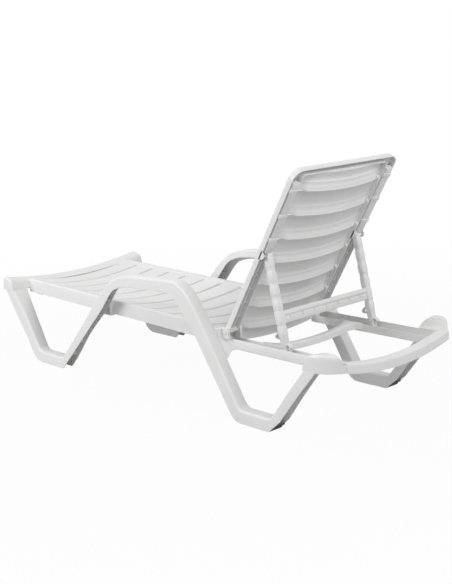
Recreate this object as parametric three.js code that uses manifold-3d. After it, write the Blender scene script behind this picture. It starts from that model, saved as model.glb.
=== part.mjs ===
// Reclining sun lounger in white moulded resin. Lengths are in millimetres.
// +Z is up, the foot end lies along -Y and the head end along +Y.
// The origin is on the ground at the middle of the lounger's outline.
import * as THREE from 'three';
import { mergeVertices } from 'three/addons/utils/BufferGeometryUtils.js';
import Module from 'manifold-3d';

const wasm = await Module();
wasm.setup();

// Overall sizes.
const footEndY = -928;
const headEndY = 929;
const wall = 4;
const overrun = 6;
const seam = 0.3;

// Seat deck. The slots are spaced evenly between the lip and the last slat.
const deckHalfWidth = 255;
const deckDish = 27;
const deckEndY = 352;
const deckEndZ = 325;
const deckHingeZ = 295;
const deckMidDrop = 2;
const easeShare = 0.6;
const slatPlate = 4;
const slatSkirt = 16;
const slotWidth = 9;
const slotCount = 11;
const lipReach = 81;
const lastSlatReach = 79;
const firstSlotY = footEndY + lipReach;
const slatPitch = (deckEndY - lastSlatReach - firstSlotY) / (slotCount - 1);
const railWidth = 30;
const railDepth = 55;
const railInnerDepth = 47;
const dishSteps = 14;

// Foot-end lip and its corners.
const cornerWidth = 86;
const cornerReach = 82;
const lipHalfWidth = deckHalfWidth + cornerWidth;
const cornerBackY = footEndY + cornerReach;
const lipTopZ = 309;
const lipBackZ = 298;
const lipDish = 32;
const lipLean = 20;
const lipDrop = 53;

// Side bands: legs and armrests, beside the deck.
const sideGap = 17;
const bandWidth = 47;
const bandInnerX = deckHalfWidth + sideGap;
const bandOuterX = bandInnerX + bandWidth;
const bandJoinZ = 285;
const bandJoinLength = 66;
const armTopZ = 445;
const footBarZ = 46;
const frontLegInset = 26;
const frontLegStartY = footEndY + frontLegInset;
const frontLegEndY = -256;
const armFrontY = frontLegEndY - bandJoinLength;
const rearLegStartY = 273;
const armRearY = rearLegStartY + bandJoinLength;
const padThickness = 6;

// Rear rails.
const rearRailWidth = 50;
const rearRailInset = 15;
const rearRailOuterX = deckHalfWidth - rearRailInset;
const rearRailInnerX = rearRailOuterX - rearRailWidth;
const rearRailTopZ = 258;
const rearRailHeight = 35;
const rearRailLowZ = rearRailTopZ - rearRailHeight;
const rearRailLip = 8;

// Head end: the bar between the rails and the horns beside it.
const barBow = 10;
const barDepth = 45;
const barFrontY = headEndY - barBow;
const rearRailEndY = barFrontY - barDepth;
const hornLength = 137;
const hornSideInset = 7;
const hornStartY = barFrontY - hornLength;
const hornOuterX = bandOuterX - hornSideInset;
const hornLowZ = 240;
const hornTopZ = 295;

// Backrest, measured from its hinge.
const hingeReach = 14;
const hingeDrop = 11;
const hingeY = deckEndY + hingeReach;
const hingeZ = deckHingeZ - hingeDrop;
const backAngleDeg = 58;
const backLength = 662;
const backSideGap = 9;
const backHalfWidth = deckHalfWidth - backSideGap;
const backDepth = 22;
const stileWidth = 46;
const stileInnerX = backHalfWidth - stileWidth;
const backDish = 26;
const backSlatCount = 7;
const backSlatGap = 8;
const firstBackSlatY = 4;
const backSlatStartY = 24;
const topSlatReach = 82;
const ridgeWidth = 38;
const ridgeDepth = 23;
const backSkin = 3.5;
const backSlatPitch = (backLength - topSlatReach - firstBackSlatY) / (backSlatCount - 1);
const lugThickness = 10;
const hingePinR = 5;
const hingeBossR = 11;
const pinClearance = 0.15;

// Prop: where it hangs on the backrest, and its two seats in the rear rails.
const propAlong = 334.5;
const propBehind = 12.6;
const propInset = 16;
const propX = stileInnerX + propInset;
const propFootY = 622;
const propTravel = 191.8;
const propFootR = 10;
const propSeatRise = 9;
const propSeatZ = rearRailLowZ + wall + propSeatRise;

const white = { color: 0xf1f1f0, roughness: 0.42, metalness: 0 };
const rubber = { color: 0x151515, roughness: 0.8, metalness: 0 };

// Geometry helpers.

function shell(positions, index) {
  const geometry = new THREE.BufferGeometry();
  geometry.setAttribute('position', new THREE.Float32BufferAttribute(positions, 3));
  geometry.setIndex(index);
  return geometry;
}

function signedVolume(geometry) {
  const at = geometry.attributes.position;
  const index = geometry.index;
  const a = new THREE.Vector3();
  const b = new THREE.Vector3();
  const c = new THREE.Vector3();
  let sum = 0;
  for (let i = 0; i < index.count; i += 3) {
    a.fromBufferAttribute(at, index.getX(i));
    b.fromBufferAttribute(at, index.getX(i + 1));
    c.fromBufferAttribute(at, index.getX(i + 2));
    sum += a.dot(b.cross(c));
  }
  return sum;
}

function facingOut(geometry) {
  if (signedVolume(geometry) < 0) {
    const list = Array.from(geometry.index.array);
    for (let i = 0; i < list.length; i += 3) {
      [list[i + 1], list[i + 2]] = [list[i + 2], list[i + 1]];
    }
    geometry.setIndex(list);
  }
  return geometry;
}

// Joins rings of points into one closed skin with flat ends.
function loft(givenRings, givenOutline) {
  const turned = THREE.ShapeUtils.area(givenOutline.map(([u, v]) => new THREE.Vector2(u, v))) < 0;
  const rings = turned ? givenRings.map((ring) => [...ring].reverse()) : givenRings;
  const outline = turned ? [...givenOutline].reverse() : givenOutline;
  const count = outline.length;
  const positions = rings.flat().flat();
  const index = [];
  for (let r = 0; r + 1 < rings.length; r += 1) {
    for (let i = 0; i < count; i += 1) {
      const j = (i + 1) % count;
      const a = r * count + i;
      const b = r * count + j;
      const c = (r + 1) * count + j;
      const d = (r + 1) * count + i;
      index.push(a, b, c, a, c, d);
    }
  }
  const contour = outline.map(([u, v]) => new THREE.Vector2(u, v));
  const faces = THREE.ShapeUtils.triangulateShape(contour, []);
  const last = (rings.length - 1) * count;
  for (const [a, b, c] of faces) {
    index.push(c, b, a, last + a, last + b, last + c);
  }
  return facingOut(shell(positions, index));
}

// Sweeps an outline of [y, z] along X; rise gives the lift at each x.
function sweepX(outline, stations, rise, push = () => 0) {
  const rings = stations.map((x) => outline.map(([y, z]) => [x, y + push(x), z + rise(x)]));
  return loft(rings, outline);
}

// Sweeps an outline of [x, z] along Y; rise gives the lift at each y.
function sweepY(outline, stations, rise) {
  const rings = stations.map((y) => outline.map(([x, z]) => [x, y, z + rise(y)]));
  return loft(rings, outline);
}

function span(from, to, steps) {
  return Array.from({ length: steps + 1 }, (_, i) => from + ((to - from) * i) / steps);
}

// An outline of [y, z] made into a plate between two x planes.
function plateX(points, x0, x1) {
  const ring = (x) => points.map(([y, z]) => [x, y, z]);
  return loft([ring(x0), ring(x1)], points);
}

function boxAt(x0, x1, y0, y1, z0, z1) {
  return plateX([[y0, z0], [y1, z0], [y1, z1], [y0, z1]], Math.min(x0, x1), Math.max(x0, x1));
}

function solid(geometry) {
  const bare = geometry.clone();
  bare.deleteAttribute('normal');
  bare.deleteAttribute('uv');
  const merged = mergeVertices(bare);
  const vertProperties = new Float32Array(merged.attributes.position.array);
  const triVerts = new Uint32Array(merged.index.array);
  return new wasm.Manifold(new wasm.Mesh({ numProp: 3, vertProperties, triVerts }));
}

function fromSolid(body) {
  const mesh = body.getMesh();
  return shell(Array.from(mesh.vertProperties), Array.from(mesh.triVerts));
}

function union(...geometries) {
  const bodies = geometries.map(solid);
  return fromSolid(bodies.reduce((all, body) => all.add(body)));
}

function cut(geometry, ...tools) {
  return fromSolid(tools.map(solid).reduce((body, tool) => body.subtract(tool), solid(geometry)));
}

function common(a, b) {
  return fromSolid(solid(a).intersect(solid(b)));
}

// Shifts an open path sideways by a distance, to the left of its direction.
function offsetPath(path, distance) {
  return path.map(([y, z], i) => {
    const [py, pz] = path[Math.max(i - 1, 0)];
    const [ny, nz] = path[Math.min(i + 1, path.length - 1)];
    const before = new THREE.Vector2(y - py, z - pz).normalize();
    const after = new THREE.Vector2(ny - y, nz - z).normalize();
    const along = before.clone().add(after).normalize();
    const facing = i === 0 || i === path.length - 1 ? 1 : Math.max(along.dot(before), 0.5);
    return [y - (along.y * distance) / facing, z + (along.x * distance) / facing];
  });
}

// A band along an open path. Its two ends stay level.
function strip(path, thickness) {
  const side = offsetPath(path, thickness);
  side[0] = levelEnd(path[0], path[1], thickness);
  side[side.length - 1] = levelEnd(path[path.length - 1], path[path.length - 2], -thickness);
  return [...path, ...side.reverse()];
}

function levelEnd([y, z], [nextY, nextZ], thickness) {
  const along = new THREE.Vector2(nextY - y, nextZ - z).normalize();
  return [y - thickness / along.y, z];
}

// A smooth open path through some points.
function curve(points, steps) {
  const line = new THREE.CatmullRomCurve3(points.map(([y, z]) => new THREE.Vector3(0, y, z)));
  return line.getPoints(steps).map((p) => [p.y, p.z]);
}

// Points given as shares of the way from one y to another, and from one z to another.
function placed(shares, y0, y1, z0, z1) {
  return shares.map(([v, w]) => [y0 + v * (y1 - y0), z0 + w * (z1 - z0)]);
}

const spreadEndY = -700;
const spreadReach = 150;

// Spreads the top of the front leg outwards to meet the wider foot-end corner.
function spread(geometry) {
  const at = geometry.attributes.position;
  for (let i = 0; i < at.count; i += 1) {
    const across = (at.getX(i) - bandInnerX) / (bandOuterX - bandInnerX);
    const back = THREE.MathUtils.clamp((spreadEndY - at.getY(i)) / spreadReach, 0, 1);
    const share = across * back * (at.getZ(i) / bandJoinZ);
    at.setX(i, at.getX(i) + share * (lipHalfWidth - bandOuterX));
  }
  return geometry;
}

function mirrored(geometry) {
  const copy = geometry.clone();
  copy.applyMatrix4(new THREE.Matrix4().makeScale(-1, 1, 1));
  return facingOut(copy);
}

const lounger = new THREE.Group();

function piece(name, geometry, finish = white, parent = lounger) {
  const bare = geometry.index ? geometry : mergeVertices(geometry);
  bare.computeVertexNormals();
  const mesh = new THREE.Mesh(bare, new THREE.MeshStandardMaterial(finish));
  mesh.name = name;
  parent.add(mesh);
  return mesh;
}

function pair(name, geometry, finish = white, parent = lounger) {
  piece(`${name}_left`, geometry, finish, parent);
  piece(`${name}_right`, mirrored(geometry), finish, parent);
}

// Height of the deck's edge above the ground along the lounger.
function deckEdgeZ(y) {
  const t = THREE.MathUtils.clamp((y - firstSlotY) / (deckEndY - firstSlotY), 0, 1);
  const wave = deckMidDrop * Math.sin(2 * Math.PI * t);
  const eased = THREE.MathUtils.smoothstep(t, 0, 1);
  return deckEndZ + (deckHingeZ - deckEndZ) * THREE.MathUtils.lerp(t, eased, easeShare) - wave;
}

function dish(x) {
  return deckDish * ((x / deckHalfWidth) ** 2 - 1);
}

// Seat deck.

const slatHalf = deckHalfWidth - railWidth;
const slotYs = Array.from({ length: slotCount }, (_, i) => firstSlotY + slatPitch * i);

function slatOutline(y0, y1) {
  const z0 = deckEdgeZ(y0);
  const z1 = deckEdgeZ(y1);
  return [
    [y0, z0], [y1, z1], [y1, z1 - slatSkirt], [y1 - slatPlate, z1 - slatSkirt],
    [y1 - slatPlate, z1 - slatPlate], [y0 + slatPlate, z0 - slatPlate],
    [y0 + slatPlate, z0 - slatSkirt], [y0, z0 - slatSkirt],
  ];
}

function seatSlats() {
  slotYs.forEach((slot, i) => {
    const y0 = slot + slotWidth / 2;
    const y1 = i + 1 < slotCount ? slotYs[i + 1] - slotWidth / 2 : deckEndY;
    const outline = slatOutline(y0, y1);
    const number = String(i + 1).padStart(2, '0');
    piece(`seat_slat_${number}`, sweepX(outline, span(-slatHalf, slatHalf, dishSteps), dish));
  });
}

function seatRail() {
  const inner = dish(slatHalf);
  const outline = [
    [deckHalfWidth, 0], [deckHalfWidth, -railDepth], [deckHalfWidth - wall, -railDepth],
    [deckHalfWidth - wall, -wall], [slatHalf + wall, inner - wall], [slatHalf + wall, -railInnerDepth],
    [slatHalf, -railInnerDepth], [slatHalf, inner],
  ];
  const stations = span(firstSlotY - slotWidth / 2, deckEndY, dishSteps);
  return sweepY(outline, stations, deckEdgeZ);
}

// Foot end.

function lipRise(x) {
  return lipDish * (x / lipHalfWidth) ** 2;
}

// The lip's front face and crest as shares of its lean and drop, then of its run back.
const lipFrontShares = [[0, 1], [0.25, 0.49], [0.5, 0.15], [1, 0]];
const lipRunShares = [[0.43, 0.27], [1, 1]];

function lipTop(backY) {
  const crestY = footEndY + lipLean;
  return [
    ...placed(lipFrontShares, footEndY, crestY, lipTopZ, lipTopZ - lipDrop),
    ...placed(lipRunShares, crestY, backY, lipTopZ, lipBackZ),
  ];
}

function lipOutline(backY) {
  const top = lipTop(backY);
  const under = offsetPath(top, -wall).reverse();
  under[0] = [backY, lipBackZ - wall];
  under[under.length - 1] = [footEndY + wall, lipTopZ - lipDrop];
  return [...top, ...under];
}

function footPanel() {
  const backY = firstSlotY - slotWidth / 2;
  return sweepX(lipOutline(backY), span(-deckHalfWidth, deckHalfWidth, dishSteps), lipRise);
}

const cornerSteps = 4;

function footCorner() {
  const plate = sweepX(lipOutline(cornerBackY), span(deckHalfWidth, lipHalfWidth, cornerSteps), lipRise);
  const side = lipTop(cornerBackY).map(([y, z]) => [y, z + lipRise(lipHalfWidth)]);
  side.push([cornerBackY, bandJoinZ]);
  return union(plate, plateX(side, lipHalfWidth - wall, lipHalfWidth));
}

// Legs and armrests, as channels closed on the side that faces up.

// Outlines are shares of the leg's or armrest's length and height.
const frontOuterShares = [[0, 1], [0.2012, 0.042], [0.2663, 0], [0.5356, 0], [0.8684, 0.688], [1, 1]];
const frontWindowShares = [[0.0851, 1], [0.2879, 0], [0.5372, 0]];
const rearOuterShares = [[0, 1], [0.198, 0.337], [0.3127, 0.018], [0.3463, 0], [0.6237, 0], [0.7155, 0.158]];
const rearWindowShares = [[0.378, 0], [0.636, 0]];
const rearLegReach = 57;
const rearLegEndY = hornStartY + rearLegReach;

const frontLegOuter = placed(frontOuterShares, frontLegStartY, frontLegEndY, 0, bandJoinZ);
const frontWindow = [
  ...placed(frontWindowShares, frontLegStartY, frontLegEndY, footBarZ, bandJoinZ), [armFrontY, bandJoinZ],
];
const rearLegOuter = [
  ...placed(rearOuterShares, rearLegStartY, rearLegEndY, 0, bandJoinZ), [rearLegEndY, hornLowZ],
];
const rearWindow = [
  [armRearY, bandJoinZ],
  ...placed(rearWindowShares, rearLegStartY, rearLegEndY, footBarZ, bandJoinZ),
  [hornStartY + wall, hornLowZ],
];

const armTopShares = [[0, 0], [0.114, 0.469], [0.227, 0.794], [0.367, 0.938], [0.639, 0.994], [0.735, 1],
  [0.799, 0.963], [0.885, 0.681], [1, 0]];
const armUnderShares = [[1, 0], [0.885, 0.431], [0.809, 0.694], [0.749, 0.725], [0.459, 0.7], [0.204, 0.594],
  [0.129, 0.463], [0, 0]];
const armSteps = 18;
const armTop = curve(placed(armTopShares, armFrontY, armRearY, bandJoinZ, armTopZ), armSteps);
const armUnder = curve(placed(armUnderShares, frontLegEndY, rearLegStartY, bandJoinZ, armTopZ), armSteps);

function channel(outline, closedSide, innerX, outerX0) {
  const outer = plateX(outline, outerX0 - wall, outerX0);
  const inner = plateX(outline, innerX, innerX + wall);
  const web = plateX(strip(closedSide, -wall), innerX, outerX0);
  return union(outer, inner, web);
}

function frontLeg() {
  const outline = [...frontLegOuter, ...[...frontWindow].reverse()];
  return spread(channel(outline, frontWindow, bandInnerX, bandOuterX));
}

function rearLeg() {
  const outline = [...rearLegOuter, ...[...rearWindow].reverse()];
  return channel(outline, rearWindow, bandInnerX, bandOuterX);
}

function armrest() {
  return channel([...armTop, ...armUnder], armTop, bandInnerX, bandOuterX);
}

// A rubber pad under the sloping corner of a leg, resting on the ground.
function footPad([lowY, lowZ], [highY, highZ]) {
  const along = new THREE.Vector2(highY - lowY, highZ - lowZ).normalize();
  const outward = along.y * Math.sign(along.x);
  const below = ([y, z], drop) => [y + outward * drop, z - Math.abs(along.x) * drop];
  const top = below([highY, highZ], seam);
  const bottom = below([highY, highZ], padThickness);
  const toGround = ([y, z]) => [y - (z * along.x) / along.y, 0];
  return plateX([toGround(top), toGround(bottom), bottom, top], bandInnerX, bandOuterX);
}

// Blocks that tie the legs and armrests to the deck and the rear rails.

const tieInset = 8;
const tieDrop = 33;
const tieRise = 17;
const rearTieDrop = 18;
const railTieReach = 46;
const frontTieY = [armFrontY, frontLegEndY - tieInset];
const frontTieZ = [bandJoinZ - tieDrop, bandJoinZ + tieRise];
const rearTieY = [rearLegStartY + tieInset, deckEndY];
const rearTieZ = [rearRailTopZ - rearTieDrop, deckHingeZ];
const railTieEndY = deckEndY + railTieReach;

function frontTie() {
  return boxAt(deckHalfWidth, bandInnerX, ...frontTieY, ...frontTieZ);
}

function rearTie() {
  const side = boxAt(deckHalfWidth, bandInnerX, ...rearTieY, ...rearTieZ);
  const low = boxAt(rearRailOuterX, bandInnerX, deckEndY, railTieEndY, rearRailLowZ, rearRailTopZ);
  const jointY = [deckEndY - overrun, deckEndY + overrun];
  const joint = boxAt(deckHalfWidth, bandInnerX, ...jointY, rearTieZ[0], rearRailTopZ);
  return union(side, low, joint);
}

// Rear frame.

function rearRail() {
  const outline = [
    [rearRailOuterX, rearRailTopZ], [rearRailOuterX, rearRailLowZ], [rearRailInnerX, rearRailLowZ],
    [rearRailInnerX, rearRailTopZ - rearRailLip], [rearRailInnerX + wall, rearRailTopZ - rearRailLip],
    [rearRailInnerX + wall, rearRailLowZ + wall], [rearRailOuterX - wall, rearRailLowZ + wall],
    [rearRailOuterX - wall, rearRailTopZ],
  ];
  return sweepY(outline, [deckEndY, rearRailEndY], () => 0);
}

const seatLength = 10;
const seatStripHeight = 1.5;

// A strip along the rail's floor, with a raised rest for the prop's foot at each end.
function propSeats() {
  const y0 = propFootY - seatLength / 2;
  const y1 = propFootY + propTravel + seatLength / 2;
  const floorZ = rearRailLowZ + wall;
  const stripZ = floorZ + seatStripHeight;
  const topZ = propSeatZ - seam;
  const outline = [
    [y0, floorZ], [y1, floorZ], [y1, topZ], [y1 - seatLength, topZ],
    [y1 - seatLength, stripZ], [y0 + seatLength, stripZ], [y0 + seatLength, topZ], [y0, topZ],
  ];
  return plateX(outline, rearRailInnerX + wall + seam, rearRailOuterX - wall - seam);
}

const apronHeight = 45;

function seatApron() {
  const outline = [
    [deckEndY, deckHingeZ], [deckEndY + wall, deckHingeZ],
    [deckEndY + wall, deckHingeZ - apronHeight], [deckEndY, deckHingeZ - apronHeight],
  ];
  return sweepX(outline, span(-rearRailInnerX, rearRailInnerX, dishSteps), dish);
}

const braceY = 522;
const braceDepth = 35;
const braceTopZ = 254;
const braceHeight = 26;
const braceDish = 15;

function midBrace() {
  const outline = [
    [braceY, braceTopZ], [braceY + braceDepth, braceTopZ], [braceY + braceDepth, braceTopZ - braceHeight],
    [braceY + braceDepth - wall, braceTopZ - braceHeight], [braceY + braceDepth - wall, braceTopZ - wall],
    [braceY + wall, braceTopZ - wall], [braceY + wall, braceTopZ - braceHeight],
    [braceY, braceTopZ - braceHeight],
  ];
  const sag = (x) => braceDish * ((x / rearRailInnerX) ** 2 - 1);
  return sweepX(outline, span(-rearRailInnerX, rearRailInnerX, dishSteps), sag);
}

const barTopZ = 267;
const barFrontZ = 236;
const barBackZ = 243;
const barEdge = 4;

function headBar() {
  const outline = [
    [rearRailEndY, barTopZ], [barFrontY - barEdge, barTopZ], [barFrontY, barTopZ - barEdge],
    [barFrontY, barFrontZ], [barFrontY - wall, barFrontZ], [barFrontY - wall, barTopZ - wall - barEdge],
    [rearRailEndY + wall, barTopZ - wall - barEdge], [rearRailEndY + wall, barBackZ],
    [rearRailEndY, barBackZ],
  ];
  const bow = (x) => barBow * (1 - (x / rearRailOuterX) ** 2);
  return sweepX(outline, span(-rearRailOuterX, rearRailOuterX, dishSteps), dish, bow);
}

const hornTopShares = [[0, 0], [0.03, 0.33], [0.19, 0.62], [0.413, 0.909], [0.635, 1], [0.825, 0.927],
  [0.96, 0.727], [1, 0.44], [1, 0]];

// Seen from above, the horn's outer corner at the head end is cut off in a long curve.
const hornPlanShares = [[0, 0], [1, 0], [1, 0.5], [0.9, 0.63], [0.69, 0.745], [0.31, 0.9], [0.03, 1], [0, 1]];

function hornBlock(gap, drop) {
  const top = placed(hornTopShares, hornStartY + gap, barFrontY - gap, hornLowZ - drop, hornTopZ - gap);
  const plan = placed(
    hornPlanShares, rearRailOuterX + gap, hornOuterX - 2 * gap, hornStartY + gap, barFrontY - 2 * gap,
  );
  return common(plateX(top, rearRailOuterX, hornOuterX), flatZ(plan, hornLowZ - drop, hornTopZ + overrun));
}

function headHorn() {
  return cut(hornBlock(0, 0), hornBlock(wall, overrun));
}

// Hinge between the backrest and the base.

const lugReach = 18;
const lugGap = 1.5;
const lugBackY = hingeY + lugReach;
const outerLugX = [backHalfWidth + seam, deckHalfWidth];
const innerLugX = [stileInnerX - seam - lugThickness, stileInnerX - seam];
const lugTopZ = hingeZ + hingeBossR + 2 * seam;

function outerLug() {
  return boxAt(...outerLugX, deckEndY, lugBackY, rearRailTopZ, lugTopZ);
}

function innerLug() {
  return boxAt(...innerLugX, deckEndY + wall, lugBackY, rearRailTopZ - rearRailLip, lugTopZ);
}

function rodX(radius, x0, x1, y, z, sides) {
  const rod = new THREE.CylinderGeometry(radius, radius, x1 - x0, sides);
  rod.rotateZ(Math.PI / 2);
  rod.translate((x0 + x1) / 2, y, z);
  return rod;
}

const pinSides = 20;
const pinHoleGrowth = 1 / Math.cos(Math.PI / pinSides);

function pinHole(radius, x0, x1, y, z) {
  return rodX((radius + pinClearance) * pinHoleGrowth, x0 - overrun, x1 + overrun, y, z, pinSides);
}

function hingePin() {
  return rodX(hingePinR, innerLugX[1], outerLugX[0], hingeY, hingeZ, pinSides);
}

// Backrest, modelled lying along Y with its hinge at the origin.

const backHalfDepth = backDepth / 2;
const backTopBar = 40;
const stileEndY = backLength - backTopBar - seam;
const earReach = 24;
const earHalf = 17;

function backStile() {
  const outline = [
    [backHalfWidth, backHalfDepth], [backHalfWidth, -backHalfDepth], [backHalfWidth - wall, -backHalfDepth],
    [backHalfWidth - wall, backHalfDepth - wall], [stileInnerX + wall, backHalfDepth - wall],
    [stileInnerX + wall, -backHalfDepth], [stileInnerX, -backHalfDepth], [stileInnerX, backHalfDepth],
  ];
  const bar = sweepY(outline, [0, stileEndY], () => 0);
  const boss = rodX(hingeBossR, stileInnerX, backHalfWidth, 0, 0, pinSides);
  const ear = [
    [propAlong - earHalf, -backHalfDepth + wall], [propAlong - earHalf, -propBehind],
    [propAlong - earHalf / 2, -earReach], [propAlong + earHalf / 2, -earReach],
    [propAlong + earHalf, -propBehind], [propAlong + earHalf, -backHalfDepth + wall],
  ];
  const innerEar = plateX(ear, stileInnerX, stileInnerX + wall);
  const outerEar = plateX(ear, backHalfWidth - wall, backHalfWidth);
  return cut(union(bar, boss, innerEar, outerEar), pinHole(hingePinR, stileInnerX, backHalfWidth, 0, 0));
}

function propPin() {
  return rodX(hingePinR, stileInnerX + wall, backHalfWidth - wall, propAlong, -propBehind, pinSides);
}

const ribRadius = 10;
const collarRadius = 12.5;
const collarHalf = 9;
const ribTopGap = 18;
const ribStartY = propAlong + earHalf + overrun;
const ribEndY = stileEndY - ribTopGap;
const ribCollarShares = [0.19, 0.57, 0.96];
const ribSides = 12;

// A round bar with raised collars, along Y. The collars' places are shares of its length.
function collaredBar(start, end, radius, collarR, collarShares, half) {
  const profile = [[0, start], [radius, start]];
  for (const share of collarShares) {
    const at = start + share * (end - start);
    profile.push([radius, at - half], [collarR, at - half + seam]);
    profile.push([collarR, at + half - seam], [radius, at + half]);
  }
  profile.push([radius, end], [0, end]);
  const points = profile.map(([r, y]) => new THREE.Vector2(r, y));
  return new THREE.LatheGeometry(points, ribSides, Math.PI / ribSides);
}

function stileRib() {
  const rib = collaredBar(ribStartY, ribEndY, ribRadius, collarRadius, ribCollarShares, collarHalf);
  rib.translate((stileInnerX + backHalfWidth) / 2, 0, backHalfDepth - wall - seam - collarRadius);
  return rib;
}

const rimCornerR = 35;
const rimSteps = 5;

function backRimPath(inset) {
  const half = backHalfWidth - inset;
  const top = backLength - inset;
  const radius = rimCornerR - inset;
  const arc = span(0, Math.PI / 2, rimSteps);
  const right = arc.map((a) => [half - radius + radius * Math.cos(a), top - radius + radius * Math.sin(a)]);
  const left = right.map(([x, y]) => [-x, y]).reverse();
  return [[half, stileEndY + seam], ...right, ...left, [-half, stileEndY + seam]];
}

function flatZ(outline, z0, z1) {
  const ring = (z) => outline.map(([x, y]) => [x, y, z]);
  return loft([ring(z0), ring(z1)], outline);
}

const topRail = 22;
const topBarInnerY = backLength - topRail;

function backTop() {
  const outer = backRimPath(0);
  const inside = [[-stileInnerX, stileEndY + seam], [-stileInnerX, topBarInnerY],
    [stileInnerX, topBarInnerY], [stileInnerX, stileEndY + seam]];
  const face = flatZ([...outer, ...inside], backHalfDepth - wall, backHalfDepth);
  const rim = flatZ([...outer, ...backRimPath(wall).reverse()], -backHalfDepth, backHalfDepth);
  return union(face, rim, topWeb());
}

function backSag(x) {
  return backDish * ((x / stileInnerX) ** 2 - 1);
}

// The wall that joins the straight top bar to the dished top slat.
function topWeb() {
  const high = backHalfDepth - wall / 2;
  const ring = (x) => [
    [x, topBarInnerY, high], [x, topBarInnerY + wall, high],
    [x, topBarInnerY + wall, high - wall + backSag(x)], [x, topBarInnerY, high - wall + backSag(x)],
  ];
  const stations = span(-stileInnerX + overrun, stileInnerX - overrun, dishSteps);
  return loft(stations.map(ring), [[0, high], [wall, high], [wall, 0], [0, 0]]);
}

// The ridge's back as shares of its width and depth.
const ridgeShares = [[1, 0], [0.8, 0.2], [0.55, 0.66], [0.3, 0.94], [0.12, 1], [0.04, 0.86]];

// A backrest slat: a thin dished skin that swells into a deep ridge along its lower edge.
function backSlat(number) {
  const low = firstBackSlatY + backSlatPitch * number;
  const front = backHalfDepth;
  const top = number === backSlatCount - 1 ? topBarInnerY - seam : low + backSlatPitch - backSlatGap;
  const outline = [
    [low, front - 2 * backSkin], [low + backSkin, front], [top, front], [top, front - backSkin],
    ...placed(ridgeShares, low, low + ridgeWidth, front - backSkin, front - ridgeDepth),
  ];
  const slat = sweepX(outline, span(-stileInnerX, stileInnerX, dishSteps), backSag);
  return number === 0 ? cut(slat, lugNotch(), mirrored(lugNotch())) : slat;
}

// Room for the inner hinge lug at each end of the lowest slat.
function lugNotch() {
  const reach = ridgeDepth + backDish;
  return boxAt(innerLugX[0] - lugGap, stileInnerX + overrun, -overrun, backSlatStartY, -reach, reach);
}

// Prop: two struts joined by a crossbar, standing in the rear rails.

const strutR = 11;
const strutCollarR = 14;
const strutCollarHalf = 10;
const crossShare = 0.647;
const crossHalfY = 20.5;
const crossHalfZ = 9;
const strutCollarShares = [0.149, 0.298, 0.447, 0.791];
const bossR = 12;
const bossHalf = propInset - wall - seam;
const bossX = [propX - bossHalf, propX + bossHalf];

function backPoint(along, behind, degrees) {
  const turn = THREE.MathUtils.degToRad(degrees);
  return {
    y: hingeY + along * Math.cos(turn) + behind * Math.sin(turn),
    z: hingeZ + along * Math.sin(turn) - behind * Math.cos(turn),
  };
}

const propPivot = backPoint(propAlong, propBehind, backAngleDeg);
const propFoot = { y: propFootY, z: propSeatZ + propFootR };
const strutLength = Math.hypot(propFoot.y - propPivot.y, propFoot.z - propPivot.z);
const crossAlong = crossShare * strutLength;

function strut() {
  const bar = collaredBar(0, strutLength, strutR, strutCollarR, strutCollarShares, strutCollarHalf);
  bar.translate(propX, 0, 0);
  const socket = boxAt(
    propX - strutCollarR, propX + strutCollarR, crossAlong - crossHalfY, crossAlong + crossHalfY,
    -strutCollarR, strutCollarR,
  );
  const boss = rodX(bossR, ...bossX, 0, 0, pinSides);
  const foot = rodX(propFootR, ...bossX, strutLength, 0, pinSides);
  const hole = pinHole(hingePinR, ...bossX, 0, 0);
  return cut(union(bar, socket, boss, foot), hole);
}

const crossTubeReach = 19;
const flangeHalfZ = 6;
const flangeSkin = 3;
const crossEndX = propX - strutCollarR;

// A thick upper band with a thinner flange below it, open underneath.
function crossbar() {
  const top = crossAlong - crossHalfY;
  const low = crossAlong + crossHalfY;
  const tube = boxAt(-crossEndX, crossEndX, top, top + crossTubeReach, -crossHalfZ, crossHalfZ);
  const flange = boxAt(-crossEndX, crossEndX, top, low, -flangeHalfZ, flangeHalfZ);
  const hollow = boxAt(
    -crossEndX + wall, crossEndX - wall, top + wall, low + overrun,
    -flangeHalfZ + flangeSkin, flangeHalfZ - flangeSkin,
  );
  return cut(union(tube, flange), hollow);
}

// Assembly.

seatSlats();
pair('seat_rail', seatRail());
piece('foot_panel', footPanel());
pair('foot_corner', footCorner());
pair('front_leg', frontLeg());
pair('rear_leg', rearLeg());
pair('armrest', armrest());
pair('front_tie', frontTie());
pair('rear_tie', rearTie());
pair('rear_rail', rearRail());
pair('prop_seats', propSeats());
piece('seat_apron', seatApron());
piece('mid_brace', midBrace());
piece('head_bar', headBar());
pair('head_horn', headHorn());
pair('hinge_lug_outer', outerLug());
pair('hinge_lug_inner', innerLug());
pair('hinge_pin', hingePin());
pair('rear_foot_pad', footPad(rearLegOuter[4], rearLegOuter[5]), rubber);

const backrest = new THREE.Group();
backrest.position.set(0, hingeY, hingeZ);
backrest.rotation.x = THREE.MathUtils.degToRad(backAngleDeg);
lounger.add(backrest);

pair('back_stile', backStile(), white, backrest);
pair('stile_rib', stileRib(), white, backrest);
piece('back_top', backTop(), white, backrest);
for (let i = 0; i < backSlatCount; i += 1) {
  piece(`back_slat_${i + 1}`, backSlat(i), white, backrest);
}
pair('prop_pin', propPin(), white, backrest);

const prop = new THREE.Group();
prop.position.set(0, propPivot.y, propPivot.z);
prop.rotation.x = Math.atan2(propFoot.z - propPivot.z, propFoot.y - propPivot.y);
lounger.add(prop);

pair('prop_strut', strut(), white, prop);
piece('prop_crossbar', crossbar(), white, prop);

export default lounger;
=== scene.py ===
"""Looks of a reclining sun lounger in white moulded resin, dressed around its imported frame.

Sizes are in millimetres until to_object() turns them into metres.
+Z is up, the foot end lies along -Y and the head end along +Y, with +X the near side of the photograph.
"""
import math

import bmesh
import bpy
from mathutils import Matrix, Vector


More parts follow.
